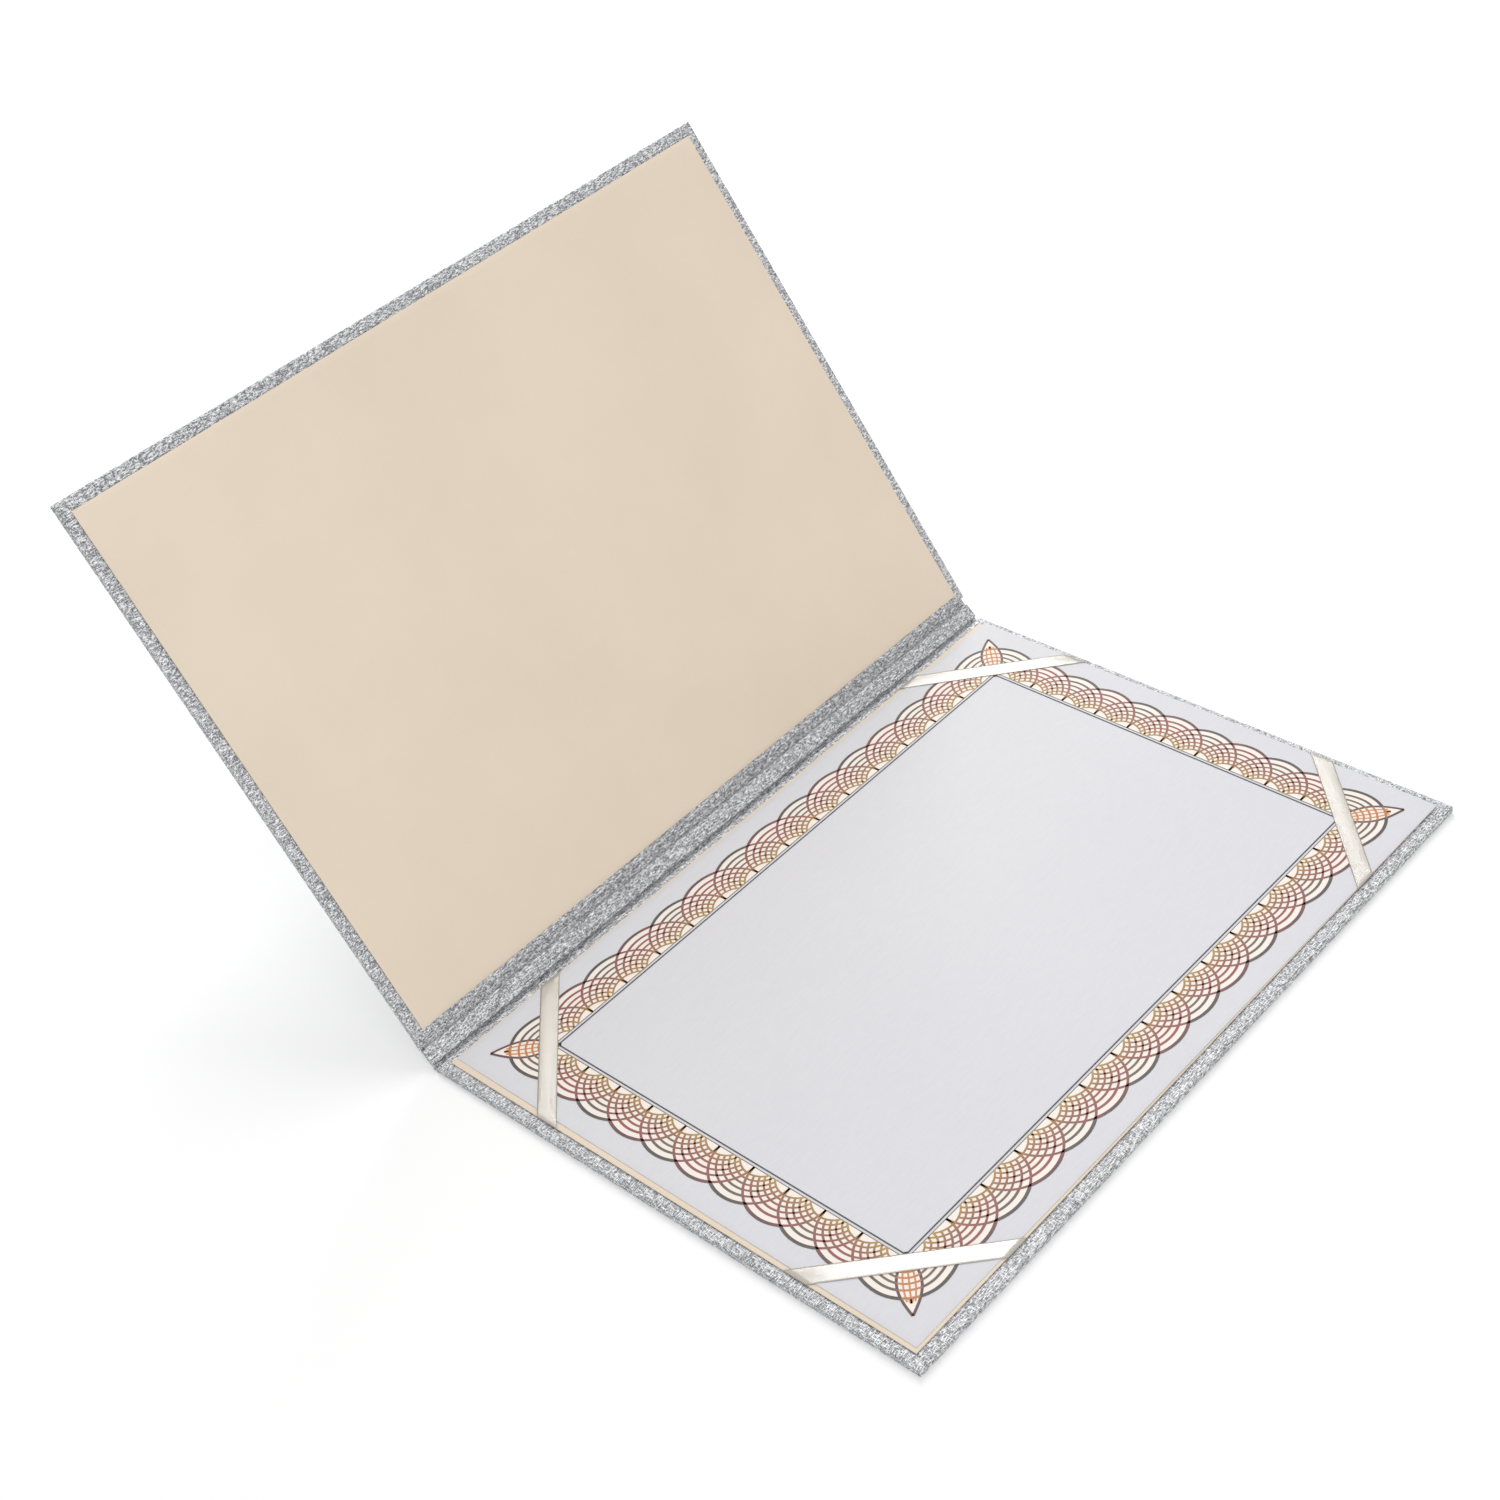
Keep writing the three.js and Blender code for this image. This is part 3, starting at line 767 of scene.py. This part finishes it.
class InkStrips:
    # Gathers flat strips of ink and makes one mesh of them
    def __init__(self):
        self.points, self.faces, self.uvs = [], [], []

    def add(self, line, widths, tones, heights, keep=None, rise=0.0):
        line = np.asarray(line, float)
        ahead = np.gradient(line, axis=0)
        ahead /= np.maximum(1e-9, np.linalg.norm(ahead, axis=1))[:, None]
        aside = np.stack([-ahead[:, 1], ahead[:, 0]], -1) * np.asarray(widths)[:, None] / 2
        start = len(self.points)
        for i in range(len(line)):
            for sign in (1, -1):
                x, y = line[i] + sign * aside[i]
                self.points.append((x + sheet["width"] / 2, y + sheet["length"] / 2, lace["level"] + rise))
                self.uvs.append((tones[i], heights[i] / lace["depths"][0]))
        for i in range(len(line) - 1):
            if keep is None or keep[i]:
                a = start + 2 * i
                self.faces.append((a, a + 1, a + 3, a + 2))

    def even(self, line, width, tone, height):
        count = len(line)
        self.add(line, [width] * count, [tone] * count, [height] * count)

    def piece(self, name, paint):
        used, faces = np.unique(np.array(self.faces), return_inverse=True)  # drops points of hidden runs
        flat = onSheet(np.array(self.points)[used])
        return standingMesh(name, flat, faces.reshape(-1, 4).tolist(), paint, np.array(self.uvs)[used], False)


def drawArcs(strips):
    shapes = laceShapes()
    levels = len(lace["depths"])
    for shape in shapes:
        others = [s for s in shapes if s is not shape]
        for level in range(levels):
            line, outward = shape.arc(level)
            middle = (line[1:] + line[:-1]) / 2
            crossed = np.zeros(len(line), bool)
            hidden = np.zeros(len(middle), bool)
            for other in others:
                crossed |= other.holds(line, 0)
                if level > 0:
                    hidden |= other.holds(middle, levels - 1)
            leafed = inLeaf(line)
            widths = np.where(crossed | leafed, lace["crossedWidths"][level], lace["openWidths"][level])
            overlap = crossed & (outward > lace["crossedFrom"])
            tones = np.where(leafed, leaf["tone"], np.where(overlap, lace["crossedTone"], shape.tone))
            strips.add(line, widths, tones, outward, ~hidden, lace["layer"] * (levels - level))


def drawRule(strips):
    corners = np.array(quarters) * (laceX, laceY)
    for start, end in zip(corners, np.roll(corners, -1, axis=0)):
        line = start + (end - start) * np.linspace(0, 1, lace["ruleSteps"])[:, None]
        strips.even(line, lace["ruleWidth"], lace["ruleTone"], lace["ruleHeight"])


def drawLeaves(strips):
    for signs in quarters:
        for place, first in leaf["lines"]:
            share = np.linspace(first, 1, leaf["steps"])
            along = leaf["length"] * share
            across = place * leaf["half"] * np.sin(math.pi * share)
            line = np.stack([leafTip[0] - (along + across) / math.sqrt(2),
                             leafTip[1] - (along - across) / math.sqrt(2)], -1)
            strips.even(line * signs, **leaf["edge" if abs(place) == 1 else "inner"])
        spot = leafTip - np.array(leaf["spot"])[:, None]
        inner = leaf["inner"]
        strips.add(spot * signs, leaf["spotWidths"], [inner["tone"]] * 2, [inner["height"]] * 2)


ink = InkStrips()
drawArcs(ink)
drawRule(ink)
drawLeaves(ink)
laceMesh = ink.piece("lace_lines", paints["lace"])
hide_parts("print_lace_lines")
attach(laceMesh, "back_cover")
print("lace made")

ribbon = {
    "width": 6.8,
    "thick": 0.1,
    "crown": 0.22,
    "crownRise": 9,
    "level": 4.1,
    "shoulder": 0.14,
    "shoulderIn": 0.02,
    "flatFrom": 0.25,
    "flatSteps": 33,
    "tuckLevel": 3.21,
    "tuckRise": 0.08,
    "tuckStart": 0.5,
    "tuck": 8,
    "lip": 0.16,
    "threads": 13,
    "corners": (("spine", "tail", 49.0), ("spine", "head", 46.5),
                ("fore", "tail", 49.0), ("fore", "head", 47.6)),
    "past": {"spine": 0.0, "fore": 0.1, "tail": 0.0, "head": 1.5},
}


def ribbonPath(lipX, lipY, total, wide):
    # One thread of the ribbon as (a, b, height): from under one edge of the lining, over and under the other
    tuck = ribbon["tuck"] / math.sqrt(2)
    top, low = ribbon["level"], ribbon["tuckLevel"]
    shoulder, inward, under = top - ribbon["shoulder"], ribbon["shoulderIn"], ribbon["tuckStart"]
    foot, middle = low + ribbon["tuckRise"], (low + top) / 2
    start = -lipX
    end = total + lipY
    path = [(start + tuck, total + lipX + lipX + tuck, low), (start + under, total + lipX + under, low)]
    path += [(start, total + lipX, foot), (start, total + lipX, middle),
             (start + inward, total + lipX - inward, shoulder)]
    for share in np.linspace(0, 1, ribbon["flatSteps"]):
        a = start + ribbon["flatFrom"] + (end - start - 2 * ribbon["flatFrom"]) * share
        rise = min(1, share * ribbon["crownRise"], (1 - share) * ribbon["crownRise"])
        path.append((a, total - a, top + ribbon["crown"] * (1 - wide ** 2) * rise))
    path += [(end - inward, total - end + inward, shoulder), (end, total - end, middle),
             (end, total - end, foot)]
    path += [(end + under, total - end + under, low), (end + tuck, total - end + tuck, low)]
    return path


def cornerRibbon(sideX, sideY, reach):
    signX = 1 if sideX == "fore" else -1
    signY = 1 if sideY == "head" else -1
    edgeX = lining["fromHinge"] + (lining["width"] if sideX == "fore" else 0)
    edgeY = signY * lining["length"] / 2
    lipX = ribbon["past"][sideX] + ribbon["lip"]
    lipY = ribbon["past"][sideY] + ribbon["lip"]
    points, uvs = [], []
    last = ribbon["threads"] - 1
    for thread in range(ribbon["threads"]):
        wide = 2 * thread / last - 1
        total = reach + wide * ribbon["width"] / math.sqrt(2)
        path = ribbonPath(lipX, lipY, total, wide)
        for step, (a, b, t) in enumerate(path):
            points.append((edgeX - signX * a, edgeY - signY * b, t))
            uvs.append((thread / last, step / (len(path) - 1)))
    faces = gridFaces(ribbon["threads"], len(path))
    if signX * signY < 0:
        faces = [f[::-1] for f in faces]
    made = standingMesh(f"ribbon_{sideY}_{sideX}_satin", np.array(points), faces, paints["ribbon"], uvs)
    solid = made.modifiers.new("thickness", "SOLIDIFY")
    solid.thickness = ribbon["thick"] * mm
    solid.offset = 0
    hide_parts(f"ribbon_{sideY}_{sideX}")
    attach(made, "back_cover")


for sideX, sideY, reach in ribbon["corners"]:
    cornerRibbon(sideX, sideY, reach)
print("ribbons made")

carried = {"print_rule": "rule", "print_lace_field": "field", "back_board": "board", "front_board": "board",
           "spine_board": "board"}
for node, paint in carried.items():
    for piece in bpy.data.objects:
        if piece.name == node and piece.type == "MESH":
            piece.data.materials.clear()
            piece.data.materials.append(paints[paint])


def floor():
    look = {"paper": 0.9, "glow": 1.15, "glowShare": 0.2, "reach": 6.0, "under": 0.0002}
    net = Finish("floor_white", 0.9, specular=0.0)
    net.finish((look["paper"],) * 3)
    glow = net.node("ShaderNodeEmission", {"Color": (1, 1, 1), "Strength": look["glow"]})
    seen = net.node("ShaderNodeLightPath", output="Is Camera Ray") * look["glowShare"]
    mixed = net.node("ShaderNodeMixShader", [seen, Signal(net, net.shader.outputs[0]), glow])
    net.put(net.tree.nodes["Material Output"].inputs["Surface"], mixed)
    reach = look["reach"]
    corners = [(-reach, -reach, 0), (reach, -reach, 0), (reach, reach, 0), (-reach, reach, 0)]
    plane = makeMesh("floor", corners, [(0, 1, 2, 3)], net.material, smooth=False)
    plane.location.z = -look["under"]


lamps = {
    "far_panel": {"place": (-0.76, 0.76, 1.19), "target": (0.0, 0.0, 0.0),
                  "wide": 0.4, "high": 1.8, "power": 17},
    "side": {"place": (1.5, -0.6, 0.35), "target": (0.0, 0.0, 0.08),
             "wide": 1.0, "high": 0.8, "power": 5},
    "fill": {"place": (0.9, -0.9, 1.4), "target": (0.0, 0.0, 0.05),
             "wide": 1.4, "high": 1.4, "power": 7},
}


def lamp(name, place, target, wide, high, power):
    light = bpy.data.lights.new(name, "AREA")
    light.shape = "RECTANGLE"
    light.size = wide
    light.size_y = high
    light.energy = power
    holder = bpy.data.objects.new(name, light)
    holder.location = place
    holder.rotation_euler = (Vector(place) - Vector(target)).to_track_quat("Z", "Y").to_euler()
    bpy.context.scene.collection.objects.link(holder)


def world():
    # White to the camera and in reflections, and a softer light on the things
    look = {"light": 0.6, "seen": 1.0}
    sky = bpy.data.worlds.new("studio")
    bpy.context.scene.world = sky
    sky.use_nodes = True
    sky.node_tree.nodes.clear()
    net = Net(sky.node_tree)
    seen = net.node("ShaderNodeLightPath", output="Is Camera Ray")
    seen = seen.math("MAXIMUM", net.node("ShaderNodeLightPath", output="Is Glossy Ray"))
    seen = seen.math("MAXIMUM", net.node("ShaderNodeLightPath", output="Is Transmission Ray"))
    soft = net.node("ShaderNodeBackground", {"Color": (1, 1, 1), "Strength": look["light"]})
    white = net.node("ShaderNodeBackground", {"Color": (1, 1, 1), "Strength": look["seen"]})
    mixed = net.node("ShaderNodeMixShader", [seen, soft, white])
    net.node("ShaderNodeOutputWorld", {"Surface": mixed}, output=None)


def camera():
    # The focal length and the middle are in pixels of the square frame
    view = {
        "place": (0.4431, -0.4606, 0.6107),
        "azimuth": 47.77,
        "elevation": 40.39,
        "roll": -9.83,
        "focal": 2465.2,
        "middle": (809.7, 816.9),
        "frame": 1500,
        "sensor": 36,
    }
    data = bpy.data.cameras.new("camera")
    data.sensor_width = view["sensor"]
    data.lens = view["focal"] / view["frame"] * view["sensor"]
    data.shift_x = (view["frame"] / 2 - view["middle"][0]) / view["frame"]
    data.shift_y = (view["middle"][1] - view["frame"] / 2) / view["frame"]
    holder = bpy.data.objects.new("camera", data)
    aim = Euler((math.radians(90 - view["elevation"]), 0, math.radians(view["azimuth"]))).to_matrix()
    turnAbout = aim @ Matrix.Rotation(math.radians(view["roll"]), 3, "Z")
    holder.matrix_world = Matrix.Translation(view["place"]) @ turnAbout.to_4x4()
    bpy.context.scene.collection.objects.link(holder)
    bpy.context.scene.camera = holder


floor()
for name, values in lamps.items():
    lamp(name, **values)
world()
camera()
bpy.context.scene.view_settings.view_transform = "Standard"
print("stage made")
